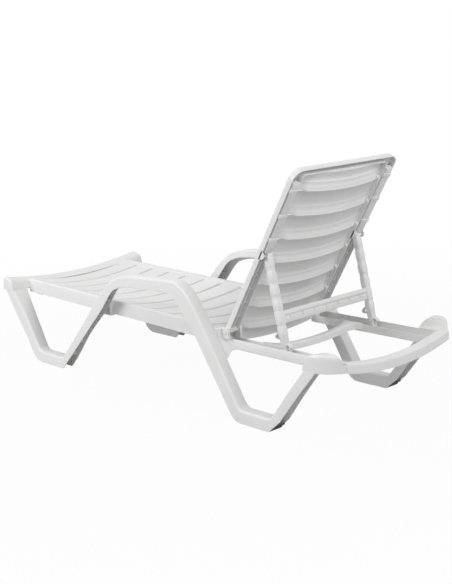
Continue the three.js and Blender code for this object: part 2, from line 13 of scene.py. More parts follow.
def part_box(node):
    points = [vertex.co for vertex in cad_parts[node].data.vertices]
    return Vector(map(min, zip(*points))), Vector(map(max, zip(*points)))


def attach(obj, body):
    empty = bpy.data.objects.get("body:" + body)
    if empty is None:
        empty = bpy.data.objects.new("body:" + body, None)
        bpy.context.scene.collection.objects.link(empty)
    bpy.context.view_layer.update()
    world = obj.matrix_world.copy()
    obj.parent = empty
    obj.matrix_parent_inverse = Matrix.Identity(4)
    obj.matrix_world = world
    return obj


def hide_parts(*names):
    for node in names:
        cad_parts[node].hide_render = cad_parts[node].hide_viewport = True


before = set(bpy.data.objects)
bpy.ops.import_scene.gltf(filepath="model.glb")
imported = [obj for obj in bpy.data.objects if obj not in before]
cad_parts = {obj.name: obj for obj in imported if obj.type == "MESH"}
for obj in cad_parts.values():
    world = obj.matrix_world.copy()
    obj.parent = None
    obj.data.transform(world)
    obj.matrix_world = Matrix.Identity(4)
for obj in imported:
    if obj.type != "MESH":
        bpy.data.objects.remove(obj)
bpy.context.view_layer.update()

MM = 0.001
SIDES = (("left", 1), ("right", -1))


def corners(node):
    """A node's lowest and highest corner in millimetres."""
    low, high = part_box(node)
    return Vector(low) / MM, Vector(high) / MM


# Driving sizes, read from the frame where a piece meets its neighbours.
LIP_DROP = 53.0
FOOT_END = corners("foot_panel")[0].y
HEAD_END = corners("head_bar")[1].y
LIP_HALF = corners("foot_corner_left")[1].x
LIP_TOP = corners("foot_panel")[0].z + LIP_DROP
BAND_INNER, BAND_OUTER = [corner.x for corner in corners("armrest_left")]
ARM_TOP = corners("armrest_left")[1].z
DECK_HALF = corners("seat_rail_left")[1].x
DECK_END = corners("seat_rail_left")[1].y
RAIL_IN, RAIL_OUT = [corner.x for corner in corners("rear_rail_left")]
RAIL_LOW, RAIL_TOP = [corner.z for corner in corners("rear_rail_left")]
RAIL_END = corners("rear_rail_left")[1].y
HORN_OUT = corners("head_horn_left")[1].x
HORN_START, HORN_END = [corner.y for corner in corners("head_horn_left")]
HORN_TOP = corners("head_horn_left")[1].z

WALL = 4.0
THIN_WALL = 2.8
RIB_HALF = 1.2
BEVEL = 0.8
BEVEL_SEGMENTS = 3
BEVEL_ANGLE = math.radians(40)
MERGE_DISTANCE = 1e-6

# Seat deck: a dished surface, highest at the foot end, cut by slots of one width.
JOIN_Z = 285.0
DECK_DISH = 27.0
DECK_FOOT_Z = 325.0
DECK_HINGE_Z = 295.0
DECK_WAVE = 2.0
FIRST_SLOT = FOOT_END + 81
LAST_SLOT = DECK_END - 79
SLOTS = 11
SLOT_WIDTH = 12.5
SLAT_HALF = DECK_HALF - 30
CROWN = 2.0
LIP_RISE = 32.0

# Side bands: where the legs start and end along the lounger, and the leg that meets the horn.
FRONT_START = -902.0
FRONT_END = -256.0
REAR_START = 273.0
REAR_END = HORN_START + 57
JOIN_LENGTH = 66.0
BAR_Z = 46.0
CHAMFER_Z = 45.0
HORN_LOW = 236.0
HORN_JOIN_Z = 240.0
HEEL_SHARE = 0.6237
CHAMFER_SHARE = 0.7155
SPREAD_END = -700.0
SPREAD_REACH = 150.0
TAPER_START = REAR_START + 290
TAPER_LOW = 140.0
TAPER_RISE = 100.0

# Backrest, in its own plane: u across, v up from the hinge, w towards the sitter.
HINGE = Vector((0.0, DECK_END + 14, DECK_HINGE_Z - 11))
BACK_ANGLE = math.radians(58)
BACK_LENGTH = 662.0
BACK_HALF = 246.0
BACK_FRONT = 11.0
STILE_IN = 200.0
TOP_BAR = 22.0
BACK_DISH = 26.0
BACK_SLATS = 7
BACK_PITCH = 96.0
FIRST_BACK_LIP = 4.0
PIVOT_RADIUS = 5.0

# Prop, along its struts from the pivot to the foot.
PROP_ALONG = 334.5
PROP_BEHIND = 12.6
PROP_X = 216.0
PROP_HALF = 11.5
FOOT_AT = Vector((0.0, 622.0, 246.0))
FOOT_TRAVEL = 191.8
FOOT_SEAT = 10.3


# Small geometry helpers.

def clamp(t):
    return min(max(t, 0), 1)


def smoothstep(t):
    return t * t * (3 - 2 * t)


def lerp(a, b, t):
    return a + (b - a) * t


def span(a, b, steps):
    return [lerp(a, b, i / steps) for i in range(steps + 1)]


def shares(points, y0, y1, z0, z1):
    """Points given as shares of a box, put into that box."""
    return [(lerp(y0, y1, v), lerp(z0, z1, w)) for v, w in points]


def arc(centre, radius, start, end, steps):
    """Points on an arc; the angles are in degrees."""
    return [(centre[0] + radius * math.cos(math.radians(a)), centre[1] + radius * math.sin(math.radians(a)))
            for a in span(start, end, steps)]


def rounded_edge(edge, radius, steps):
    """Stations (x, how much a section shrinks there) of an outer edge with a rounding."""
    return [(x, radius - s) for x, s in arc((edge - radius, 0), radius, 90, 0, steps)[1:]]


def fillet(points, radii, steps=6):
    """Rounds the inner corners of an open path of 2-D points. Returns one list of points for each corner."""
    straight_turn, most_share = 0.02, 0.48
    out = [[Vector(points[0])]]
    for i in range(1, len(points) - 1):
        p, a, b = Vector(points[i]), Vector(points[i - 1]), Vector(points[i + 1])
        into, away = (p - a).normalized(), (b - p).normalized()
        turn = into.angle(away)
        if radii[i] <= 0 or turn < straight_turn:
            out.append([p.copy() for _ in range(steps + 1)])
            continue
        reach = min(radii[i] * math.tan(turn / 2), (p - a).length * most_share, (b - p).length * most_share)
        start, end = p - into * reach, p + away * reach
        out.append([(1 - t) ** 2 * start + 2 * t * (1 - t) * p + t * t * end for t in span(0, 1, steps)])
    out.append([Vector(points[-1])])
    return out


def path_through(points, steps):
    """A smooth curve through 2-D points, evenly spread between them (Catmull-Rom)."""
    out = []
    for i in range(len(points) - 1):
        p1, p2 = Vector(points[i]), Vector(points[i + 1])
        p0 = Vector(points[i - 1]) if i > 0 else p1 * 2 - p2
        p3 = Vector(points[i + 2]) if i + 2 < len(points) else p2 * 2 - p1
        for k in range(steps):
            t = k / steps
            out.append(0.5 * ((2 * p1) + (p2 - p0) * t + (2 * p0 - 5 * p1 + 4 * p2 - p3) * t * t
                              + (3 * p1 - p0 - 3 * p2 + p3) * t ** 3))
    out.append(Vector(points[-1]))
    return out


def resample(points, count):
    """The same path with points at even distances."""
    lengths = [0.0]
    for a, b in zip(points, points[1:]):
        lengths.append(lengths[-1] + (b - a).length)
    out = []
    at = 0
    for target in span(0, lengths[-1], count - 1):
        while at < len(points) - 2 and lengths[at + 1] < target:
            at += 1
        gap = lengths[at + 1] - lengths[at]
        share = 0 if gap == 0 else (target - lengths[at]) / gap
        out.append(points[at].lerp(points[at + 1], clamp(share)))
    return out


def heading(path, i):
    """The direction of a path at one of its points."""
    return (path[min(i + 1, len(path) - 1)] - path[max(i - 1, 0)]).normalized()


def loft(rings):
    """Skins closed rings of points, all with as many points, and caps the two ends."""
    count = len(rings[0])
    last = (len(rings) - 1) * count
    verts = [p for ring in rings for p in ring]
    faces = []
    for start in range(0, last, count):
        for i in range(count):
            j = (i + 1) % count
            faces.append((start + i, start + j, start + count + j, start + count + i))
    faces.append(tuple(range(count)))
    faces.append(tuple(last + i for i in reversed(range(count))))
    return verts, faces


def merged(*shapes):
    """Several skins as one list of points and faces."""
    verts, faces = [], []
    for more_verts, more_faces in shapes:
        start = len(verts)
        verts += list(more_verts)
        faces += [tuple(start + i for i in face) for face in more_faces]
    return verts, faces


def placed(shape, place):
    """A shape with each of its points put through a function."""
    verts, faces = shape
    return [place(Vector(v)) for v in verts], faces


def plate_x(outline, x0, x1):
    """An outline of (y, z) between two x planes."""
    return loft([[(x, p[0], p[1]) for p in outline] for x in (x0, x1)])


def block(x0, x1, y0, y1, z0, z1):
    return plate_x([(y0, z0), (y1, z0), (y1, z1), (y0, z1)], x0, x1)


def rib(x0, x1, y, z0, z1, half=RIB_HALF):
    """A thin wall across the lounger at y."""
    return block(x0, x1, y - half, y + half, z0, z1)


def round_rod(radius, x0, x1, y, z):
    """A rod along x with small chamfers."""
    sides, edge = 32, 1.0
    rings = []
    for x, r in ((x0, radius - edge), (x0 + edge, radius), (x1 - edge, radius), (x1, radius - edge)):
        rings.append([(x, *p) for p in arc((y, z), r, 0, 360, sides)[:-1]])
    return loft(rings)


def collared_rod(steps, sides, flat=1.0):
    """A rod along v with a rounded square section, whose radius follows steps of (place, radius)."""
    power = 4.4
    rings = []
    for v, r in steps:
        ring = []
        for c, s in arc((0, 0), 1, 0, 360, sides)[:-1]:
            bulge = (abs(c) ** power + abs(s) ** power) ** (-1 / power)
            ring.append((r * bulge * c, v, r * bulge * s * flat))
        rings.append(ring)
    return loft(rings)


# Pieces.

def make_outward(mesh):
    work = bmesh.new()
    work.from_mesh(mesh)
    bmesh.ops.remove_doubles(work, verts=work.verts, dist=MERGE_DISTANCE)
    bmesh.ops.recalc_face_normals(work, faces=work.faces)
    work.to_mesh(mesh)
    work.free()


def to_object(name, shape, body, nodes, slot="white_resin", smooth=35, bevel=0.0):
    """Makes one mesh piece of points in millimetres, and hands it to the frame."""
    verts, faces = shape
    mesh = bpy.data.meshes.new(name)
    mesh.from_pydata([Vector(v) * MM for v in verts], [], faces)
    mesh.validate()
    piece = bpy.data.objects.new(name, mesh)
    bpy.context.scene.collection.objects.link(piece)
    make_outward(mesh)
    mesh.shade_smooth()
    mesh.set_sharp_from_angle(angle=math.radians(smooth))
    if bevel:
        edge = piece.modifiers.new("round_edges", "BEVEL")
        edge.width = bevel * MM
        edge.segments = BEVEL_SEGMENTS
        edge.limit_method = "ANGLE"
        edge.angle_limit = BEVEL_ANGLE
        edge.harden_normals = False
    mesh.materials.append(MATERIALS[slot])
    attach(piece, body)
    if nodes:
        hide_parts(*nodes)


def base_piece(name, shape, nodes=(), **more):
    to_object(name, shape, "base", nodes, **more)


def back_place(v):
    """A point of the backrest's own plane, put at its rest angle."""
    c, s = math.cos(BACK_ANGLE), math.sin(BACK_ANGLE)
    return (v.x, HINGE.y + v.y * c - v.z * s, HINGE.z + v.y * s + v.z * c)


def back_piece(name, shape, nodes=(), **more):
    to_object(name, placed(shape, back_place), "backrest", nodes, **more)


def prop_frame():
    """The prop's pivot, the length of its struts, and their angle."""
    pivot = Vector(back_place(Vector((0, PROP_ALONG, -PROP_BEHIND))))
    along = FOOT_AT - pivot
    return pivot, along.length, math.atan2(along.z, along.y)


PIVOT, STRUT, PROP_ANGLE = prop_frame()


def prop_place(v):
    """A point of the prop: u across, v down its struts from the pivot, w towards the head end and up."""
    c, s = math.cos(PROP_ANGLE), math.sin(PROP_ANGLE)
    return (v.x, PIVOT.y + v.y * c - v.z * s, PIVOT.z + v.y * s + v.z * c)


def prop_piece(name, shape, nodes=(), **more):
    to_object(name, placed(shape, prop_place), "prop", nodes, **more)


def on_both_sides(name, shape, nodes=(), make=base_piece, **more):
    """One piece for each side, mirrored on the right. The side ends the names of its piece and nodes."""
    for side, sign in SIDES:
        mirrored = placed(shape, lambda v: (sign * v.x, v.y, v.z))
        make(f"{name}_{side}", mirrored, [f"{node}_{side}" for node in nodes], **more)


# Materials.

def new_material(name):
    material = bpy.data.materials.new(name)
    material.use_nodes = True
    tree = material.node_tree
    return material, tree, tree.nodes["Principled BSDF"]


def set_inputs(node, values):
    """Sets sockets of a node by their names."""
    for socket, value in values.items():
        node.inputs[socket].default_value = value


def noise(tree, scale, detail, roughness=0.55):
    coords = tree.nodes.new("ShaderNodeTexCoord")
    node = tree.nodes.new("ShaderNodeTexNoise")
    set_inputs(node, {"Scale": scale, "Detail": detail, "Roughness": roughness})
    tree.links.new(coords.outputs["Object"], node.inputs["Vector"])
    return node.outputs["Fac"]


def ramp(tree, source, low, high, from_min=0.3, from_max=0.7):
    node = tree.nodes.new("ShaderNodeMapRange")
    set_inputs(node, {"From Min": from_min, "From Max": from_max, "To Min": low, "To Max": high})
    tree.links.new(source, node.inputs["Value"])
    return node.outputs["Result"]


def clouded(tree, shader, source, first, second):
    """Lets the base colour drift between two greys."""
    mix = tree.nodes.new("ShaderNodeMix")
    mix.data_type = "RGBA"
    set_inputs(mix, {"A": (*first, 1), "B": (*second, 1)})
    tree.links.new(ramp(tree, source, 0, 1), mix.inputs["Factor"])
    tree.links.new(mix.outputs["Result"], shader.inputs["Base Color"])


def bump(tree, height, strength, distance):
    node = tree.nodes.new("ShaderNodeBump")
    set_inputs(node, {"Strength": strength, "Distance": distance})
    tree.links.new(height, node.inputs["Height"])
    return node


def resin():
    """Semi-gloss white polypropylene with a fine moulded grain and faint clouding."""
    material, tree, shader = new_material("white_resin")
    clouded(tree, shader, noise(tree, 7.0, 3.0), (0.79, 0.79, 0.785), (0.83, 0.83, 0.827))
    tree.links.new(ramp(tree, noise(tree, 55.0, 5.0), 0.34, 0.44), shader.inputs["Roughness"])
    grain = bump(tree, noise(tree, 1400.0, 2.0), strength=0.12, distance=0.0004)
    flow = bump(tree, noise(tree, 26.0, 2.0), strength=0.1, distance=0.002)
    tree.links.new(grain.outputs["Normal"], flow.inputs["Normal"])
    tree.links.new(flow.outputs["Normal"], shader.inputs["Normal"])
    shader.inputs["Specular IOR Level"].default_value = 0.45
    return material


def rubber():
    """Matt black rubber with a dusty, slightly uneven skin."""
    material, tree, shader = new_material("black_rubber")
    dust = noise(tree, 90.0, 6.0)
    clouded(tree, shader, dust, (0.012, 0.012, 0.012), (0.035, 0.034, 0.033))
    tree.links.new(ramp(tree, dust, 0.62, 0.85), shader.inputs["Roughness"])
    skin = bump(tree, noise(tree, 700.0, 3.0), strength=0.4, distance=0.0006)
    tree.links.new(skin.outputs["Normal"], shader.inputs["Normal"])
    return material


MATERIALS = {"white_resin": resin(), "black_rubber": rubber()}


# Side bands: the front leg, the armrest and the rear leg are one channel on each side.

def arm_paths():
    """The armrest's upper side, which is closed, and its lower side, which is free."""
    steps = 8
    closed_shares = [(0, 0), (0.114, 0.469), (0.227, 0.794), (0.367, 0.938), (0.55, 0.975), (0.735, 1),
                     (0.799, 0.963), (0.885, 0.681), (1, 0)]
    free_shares = [(0, 0), (0.129, 0.463), (0.204, 0.594), (0.32, 0.672), (0.55, 0.71), (0.749, 0.725),
                   (0.809, 0.694), (0.885, 0.431), (1, 0)]
    closed = shares(closed_shares, FRONT_END - JOIN_LENGTH, REAR_START + JOIN_LENGTH, JOIN_Z, ARM_TOP)
    free = shares(free_shares, FRONT_END, REAR_START, JOIN_Z, ARM_TOP)
    return [path_through(closed, steps)], [path_through(free, steps)]


def front_leg_paths():
    """The front leg's closed side, around its window, and its free side, down to the ground."""
    closed_shares = [(0.0851, 1), (0.2879, 0), (0.5372, 0), (0.8978, 1)]
    free_shares = [(0, 1), (0.236, 0), (0.5356, 0), (1, 1)]
    closed_radii, free_radii = [0, 40, 26, 0], [0, 70, 10, 0]
    closed = shares(closed_shares, FRONT_START, FRONT_END, BAR_Z, JOIN_Z)
    free = shares(free_shares, FRONT_START, FRONT_END, 0, JOIN_Z)
    return fillet(closed, closed_radii), fillet(free, free_radii)


def rear_leg_paths():
    """The same for the rear leg, up to the horn. Its free side has one corner more, the heel's chamfer."""
    closed_radii, free_radii = [0, 40, 26, 0], [0, 60, 10, 8, 0]
    closed = [(REAR_START + JOIN_LENGTH, JOIN_Z)]
    closed += shares([(0.378, 0), (0.636, 0)], REAR_START, REAR_END, BAR_Z, JOIN_Z)
    closed += [(HORN_START + WALL, HORN_JOIN_Z)]
    free = shares([(0, 1), (0.332, 0), (HEEL_SHARE, 0)], REAR_START, REAR_END, 0, JOIN_Z)
    free += [(lerp(REAR_START, REAR_END, CHAMFER_SHARE), CHAMFER_Z), (REAR_END, HORN_JOIN_Z)]
    top, bend, heel, chamfer, end = fillet(free, free_radii)
    return fillet(closed, closed_radii), [top, bend, heel + chamfer, end]


def band_paths():
    """Matching points on the closed side and the free side, from the foot-end corner to the horn."""
    corner_count, arm_count, straight_steps, least_step = 13, 60, 8, 0.4
    closed, free = [], []
    for near, far in (front_leg_paths(), arm_paths(), rear_leg_paths()):
        for k, (a, b) in enumerate(zip(near, far)):
            if len(a) > 1:
                count = corner_count if len(near) > 1 else arm_count
                a, b = resample(a, count), resample(b, count)
            if k > 0:
                last_closed, last_free = closed[-1], free[-1]
                closed += [last_closed.lerp(a[0], t) for t in span(0, 1, straight_steps)[1:-1]]
                free += [last_free.lerp(b[0], t) for t in span(0, 1, straight_steps)[1:-1]]
            closed += a
            free += b
    even_closed, even_free = [closed[0]], [free[0]]
    for a, b in zip(closed[1:], free[1:]):
        if (a - even_closed[-1]).length > least_step or (b - even_free[-1]).length > least_step:
            even_closed.append(a)
            even_free.append(b)
    return even_closed, even_free


def leg_spread(y, z):
    """How far the outer face of the front leg stands out to meet the wider foot-end corner."""
    overlap = 0.4
    return clamp((SPREAD_END - y) / SPREAD_REACH) * clamp(z / JOIN_Z) * (LIP_HALF - BAND_OUTER - overlap)


def leg_taper(y, z):
    """How far the outer face of the rear leg draws in to meet the narrower horn."""
    if y < TAPER_START:
        return 0.0
    return smoothstep(clamp((z - TAPER_LOW) / TAPER_RISE)) * (BAND_OUTER - HORN_OUT)


def flange_cut(p):
    """How much shorter the inner flange is than the outer one: nothing at the ground, more higher up."""
    front_cut, rear_cut, start, rise = 14, 6, 25, 140
    return (rear_cut if p.x > 0 else front_cut) * smoothstep(clamp((p.y - start) / rise))


def raised(path, rise):
    """A leg's path with one more point above its first one, along the same line."""
    first, second = path[0], path[1]
    slope = (second.x - first.x) / (first.y - second.y)
    return [Vector((first.x - slope * rise, first.y + rise))] + path


def band_section(depth, short):
    """Outline of (x, n) of the bands' channel: n goes from the web to the edge of the outer flange."""
    edge, corner, round_out, round_in, most_share = 1.0, 2.0, 9.0, 5.0, 0.45
    r_out, r_in = min(round_out, depth * most_share), min(round_in, depth * most_share)
    hollow = max(r_out - WALL, corner)
    low = depth - short
    section = arc((BAND_OUTER - r_out, r_out), r_out, 0, -90, 5)
    section += arc((BAND_INNER + r_in, r_in), r_in, -90, -180, 3)
    section += [(BAND_INNER, low - edge), (BAND_INNER + edge, low),
                (BAND_INNER + WALL - edge, low), (BAND_INNER + WALL, low - edge)]
    section += arc((BAND_INNER + WALL + corner, WALL + corner), corner, 180, 270, 2)
    section += arc((BAND_OUTER - WALL - hollow, WALL + hollow), hollow, -90, 0, 3)
    section += [(BAND_OUTER - WALL, depth - edge), (BAND_OUTER - WALL + edge, depth),
                (BAND_OUTER - edge, depth), (BAND_OUTER, depth - edge)]
    return section


def side_bands():
    """The three nodes of each side as one skin, spread at the foot end and drawn in at the horn."""
    top_overlap, most_cut_share = 15, 0.5
    closed, free = [raised(path, top_overlap) for path in band_paths()]
    rings = []
    for web, edge in zip(closed, free):
        depth = (edge - web).length
        down = (edge - web) / depth
        ring = []
        for x, n in band_section(depth, min(flange_cut(edge), depth * most_cut_share)):
            y, z = web + down * n
            across = (x - BAND_INNER) / (BAND_OUTER - BAND_INNER)
            ring.append((x + across * (leg_spread(y, z) - leg_taper(y, z)), y, z))
        rings.append(ring)
    on_both_sides("side_band", loft(rings), ["front_leg", "armrest", "rear_leg"], smooth=40)


def band_ribs():
    """Thin cross walls inside the channel of the legs, as moulded legs have."""
    pitch, half, deep_share, reach_share = 92, 1.3, 0.06, 0.62
    closed, free = band_paths()
    shapes = []
    travelled = 0.0
    for k in range(2, len(closed) - 2):
        travelled += (free[k] - free[k - 1]).length
        if travelled < pitch:
            continue
        travelled = 0.0
        along = heading(closed, k) * half
        deep, reach = [closed[k].lerp(free[k], share) for share in (deep_share, reach_share)]
        outline = [deep - along, deep + along, reach + along, reach - along]
        shapes.append(plate_x(outline, BAND_INNER + WALL / 2, BAND_OUTER - WALL / 2))
    on_both_sides("band_ribs", merged(*shapes))


# Seat deck.

def deck_edge(y):
    """Height of the deck along its side edges."""
    ease = 0.6
    t = clamp((y - FIRST_SLOT) / (DECK_END - FIRST_SLOT))
    eased = lerp(t, smoothstep(t), ease)
    return lerp(DECK_FOOT_Z, DECK_HINGE_Z, eased) - DECK_WAVE * math.sin(2 * math.pi * t)


def dish(x):
    """Height of the dished deck over its side edges, negative between them."""
    return DECK_DISH * ((x / DECK_HALF) ** 2 - 1)


def slot_centres():
    return span(FIRST_SLOT, LAST_SLOT, SLOTS - 1)


def crown(y):
    """How far the deck's top lies below its crest at a place between two slots."""
    power = 6
    marks = slot_centres() + [DECK_END]
    for a, b in zip(marks, marks[1:]):
        if a <= y <= b:
            t = 2 * (y - a) / (b - a) - 1
            return 0.0 if b == DECK_END and t > 0 else CROWN * t ** power
    return 0.0


def deck_top(y):
    return deck_edge(y) - crown(y)


def slat_section(y0, y1):
    """Outline of (y, z) of one slat: a thin crowned top with rounded edges and two skirts."""
    r, skirt, round_steps, top_steps, low_steps = 5.0, 22.0, 5, 8, 6
    hollow = r + 1
    z0, z1 = deck_top(y0 + r), deck_top(y1 - r)
    section = [(y0, z0 - skirt)] + arc((y0 + r, z0 - r), r, 180, 90, round_steps)
    section += [(y, deck_top(y)) for y in span(y0 + r, y1 - r, top_steps)[1:-1]]
    section += arc((y1 - r, z1 - r), r, 90, 0, round_steps)
    section += [(y1, z1 - skirt), (y1 - THIN_WALL, z1 - skirt), (y1 - THIN_WALL, z1 - hollow),
                (y1 - hollow, z1 - WALL)]
    section += [(y, deck_top(y) - WALL) for y in reversed(span(y0 + hollow, y1 - hollow, low_steps))]
    section += [(y0 + THIN_WALL, z0 - hollow), (y0 + THIN_WALL, z0 - skirt)]
    return section


def seat_slats():
    overlap = 1.5
    marks = slot_centres()
    for i, slot in enumerate(marks):
        y0 = slot + SLOT_WIDTH / 2
        y1 = marks[i + 1] - SLOT_WIDTH / 2 if i + 1 < len(marks) else DECK_END
        section = slat_section(y0, y1)
        rings = [[(x, y, z + dish(x)) for y, z in section]
                 for x in span(-SLAT_HALF - overlap, SLAT_HALF + overlap, 28)]
        base_piece(f"slat_{i + 1:02d}", loft(rings), [f"seat_slat_{i + 1:02d}"])


def seat_rails():
    """The long rails beside the slats, with a rounded shoulder and shallow dips in line with the slots."""
    depth, inner_depth, r, ledge, chamfer, stations = 55.0, 47.0, 7.0, 12, 2, 132
    inner = dish(SLAT_HALF)
    hollow_in, hollow_out = SLAT_HALF + THIN_WALL, DECK_HALF - WALL
    section = [(DECK_HALF, -depth)] + arc((DECK_HALF - r, -r), r, 0, 90, 5)
    section += [(x, dish(x)) for x in (SLAT_HALF + ledge, SLAT_HALF + chamfer)]
    section += [(SLAT_HALF, inner - chamfer)]
    last_top = len(section) - 1
    section += [(SLAT_HALF, -inner_depth), (hollow_in, -inner_depth), (hollow_in, inner - WALL),
                (hollow_out, -r), (hollow_out, -depth)]
    rings = []
    for y in span(FIRST_SLOT - SLOT_WIDTH / 2, DECK_END, stations):
        rings.append([(x, y, s + (deck_top(y) if 1 <= k <= last_top else deck_edge(y)))
                      for k, (x, s) in enumerate(section)])
    on_both_sides("deck_rail", loft(rings), ["seat_rail"], smooth=40)


def rail_ribs():
    """Cross ribs inside the rails, and the stacking feet that show below them."""
    first, clear_end, pitch, half = 40, 30, 56, 1.4
    rib_top, rib_low, rail_low, steep = 8, 40, 55, 6
    foot_in, foot_out = DECK_HALF - 16, DECK_HALF - 13
    shapes = []
    y = FIRST_SLOT + first
    while y < DECK_END - clear_end:
        z = deck_edge(y)
        shapes.append(rib(SLAT_HALF + 1, DECK_HALF - 2, y, z - rib_low, z - rib_top, half))
        y += pitch
    for start, end, drop in ((-835.0, -770.0, 8.0), (-15.0, 165.0, 7.0)):
        rings = []
        for t in span(0, 1, 10):
            y = lerp(start, end, t)
            high = deck_edge(y) - rib_low
            low = deck_edge(y) - rail_low - drop * min(1, steep * t, steep * (1 - t))
            rings.append([(foot_in, y, high), (foot_out, y, high), (foot_out, y, low), (foot_in, y, low)])
        shapes.append(loft(rings))
    on_both_sides("rail_ribs", merged(*shapes))


# Foot end.

def lip_rise(x):
    """How far the foot end turns up towards its corners."""
    return LIP_RISE * (x / LIP_HALF) ** 2


def lip_top(back):
    """The lip's outline of (y, z) from the low edge of its front face over the crest and back."""
    crest, after_share, steps = FOOT_END + 20, 0.43, 5
    front = [(FOOT_END + 0.2, LIP_DROP), (FOOT_END + 4, 30), (FOOT_END + 9, 9)]
    behind = [(crest, 0), (lerp(crest, back, after_share), 3), (back, 11)]
    return path_through([(y, LIP_TOP - below) for y, below in front + behind], steps)


def inside_of(path, thickness):
    """The path moved sideways by a thickness, towards its right."""
    out = []
    for i, p in enumerate(path):
        along = heading(path, i)
        out.append(Vector((p.x + along.y * thickness, p.y - along.x * thickness)))
    return out


def foot_panel():
    overlap = 2
    top = lip_top(FIRST_SLOT - SLOT_WIDTH / 2)
    section = top + inside_of(top, WALL)[::-1]
    rings = [[(x, p.x, p.y + lip_rise(x)) for p in section]
             for x in span(-DECK_HALF - overlap, DECK_HALF + overlap, 30)]
    base_piece("foot_lip", loft(rings), ["foot_panel"], smooth=50)


def foot_corners():
    """The wide corner of the foot end. Its top rounds over into an outer wall that meets the leg."""
    closed = band_paths()[0]
    low, r, front_inset, front_length, soften, lean, overlap = JOIN_Z + 3, 9.0, 12, 40, 4, 3, 24
    back = raised(closed, overlap)[0].x
    back_low = raised(closed, low - closed[0].y)[0].x
    middle = Vector((FOOT_END + 44, LIP_TOP - 40))
    stations = [(x, 0.0) for x in span(DECK_HALF, LIP_HALF - r, 8)] + rounded_edge(LIP_HALF, r, 6)
    rings = []
    for x, shrink in stations:
        ring = [(x, FOOT_END + front_inset, low)]
        for p in lip_top(back):
            inward = (middle - p).normalized() * shrink
            y = p.x + (inward.x if p.x < FOOT_END + front_length else 0)
            ring.append((x, y, p.y + lip_rise(min(x, LIP_HALF)) + inward.y))
        top = ring.pop()
        ring += [(x, top[1] - soften, top[2]), (x, back + lean, top[2] - soften), (x, back_low, low)]
        rings.append(ring)
    on_both_sides("corner", loft(rings), ["foot_corner"], smooth=50)


# Pieces that tie the bands to the deck and the rails.

def front_ties():
    """Ribbed brackets between the front legs and the deck."""
    y0, y1 = FRONT_END - JOIN_LENGTH, FRONT_END - 8
    x0, x1 = DECK_HALF - 2, BAND_INNER + 2
    plate_low, plate_top, rib_low = JOIN_Z + 13, JOIN_Z + 17, JOIN_Z - 33
    shapes = [block(x0, x1, y0, y1, plate_low, plate_top)]
    shapes += [rib(x0, x1, y, rib_low, plate_low + 2) for y in span(y0 + 1, y1 - 1, 4)]
    on_both_sides("front_bridge", merged(*shapes), ["front_tie"])


def rail_end_wall():
    """The wall that closes the end of the seat rail, above the rear rail's own end."""
    side_inset, inset, thick, rise = 1, 2, 3, 20
    return block(RAIL_IN + side_inset, RAIL_OUT - side_inset, DECK_END - inset - thick, DECK_END - inset,
                 RAIL_LOW + inset, RAIL_TOP + rise)


def rear_ties():
    """A filleted wall between leg, deck and rail, and the end wall of the seat rail."""
    radius, past_fillet, hang, leg_slope, cover = 27.0, 8, 24, 0.615, 2
    start, low_start, front_rise, ledge = REAR_START + 8, REAR_START + 60, 30, 8
    slope_start, slope_end, slope_rise, power = 4, 3, 1, 1.3
    deck = deck_edge(DECK_END) - cover
    rings = []
    for x in span(RAIL_OUT - cover, RAIL_OUT + radius + past_fillet, 18):
        reach = min(max(x - RAIL_OUT, 0), radius)
        bulge = radius - math.sqrt(radius ** 2 - (radius - reach) ** 2)
        low = lerp(RAIL_LOW, RAIL_LOW - hang, reach / radius)
        wall = [(REAR_START + JOIN_LENGTH + (JOIN_Z - z) * leg_slope + cover + bulge, z)
                for z in [RAIL_TOP] + span(RAIL_TOP - 2, low + 1, 6) + [low]]
        outline = [(start, low + front_rise), (start, deck), (DECK_END - ledge, deck)]
        outline += [(lerp(DECK_END - slope_start, wall[0][0] - slope_end, smoothstep(t)),
                     lerp(deck, RAIL_TOP + slope_rise, t ** power)) for t in span(0, 1, 6)]
        outline += wall[1:-1] + [(wall[-1][0] - 2, low), (low_start, low)]
        rings.append([(x, y, z) for y, z in outline])
    on_both_sides("rear_bridge", merged(loft(rings), rail_end_wall()), ["rear_tie"], smooth=50)


# Rear frame.

def rear_rails():
    """Channels open at the top, in which the prop's feet stand."""
    lip, crest, chamfer, hollow, r = 8.0, 1.5, 0.5, 2, 3.0
    rib_inset, rib_height, rib_start, rib_end, rib_steps = 3, 4, 60, 40, 9
    floor_z = RAIL_LOW + WALL
    section = arc((RAIL_OUT - crest, RAIL_TOP - crest), crest, 0, 90, 2)
    section += [(RAIL_OUT - WALL + chamfer, RAIL_TOP), (RAIL_OUT - WALL, floor_z + hollow),
                (RAIL_OUT - WALL - hollow, floor_z), (RAIL_IN + WALL + hollow, floor_z),
                (RAIL_IN + WALL, floor_z + hollow), (RAIL_IN + WALL - chamfer, RAIL_TOP - lip),
                (RAIL_IN + chamfer, RAIL_TOP - lip)]
    section += arc((RAIL_IN + r, RAIL_LOW + r), r, 180, 270, 3)
    section += arc((RAIL_OUT - r, RAIL_LOW + r), r, 270, 360, 3)
    rail = loft([[(x, y, z) for x, z in section] for y in span(DECK_END - 1, RAIL_END + 3, 6)])
    rib_low = RAIL_LOW + rib_inset
    ribs = [rib(RAIL_IN + rib_inset, RAIL_OUT - rib_inset, y, rib_low, rib_low + rib_height)
            for y in span(DECK_END + rib_start, RAIL_END - rib_end, rib_steps)]
    on_both_sides("rail", merged(rail, *ribs), ["rear_rail"])


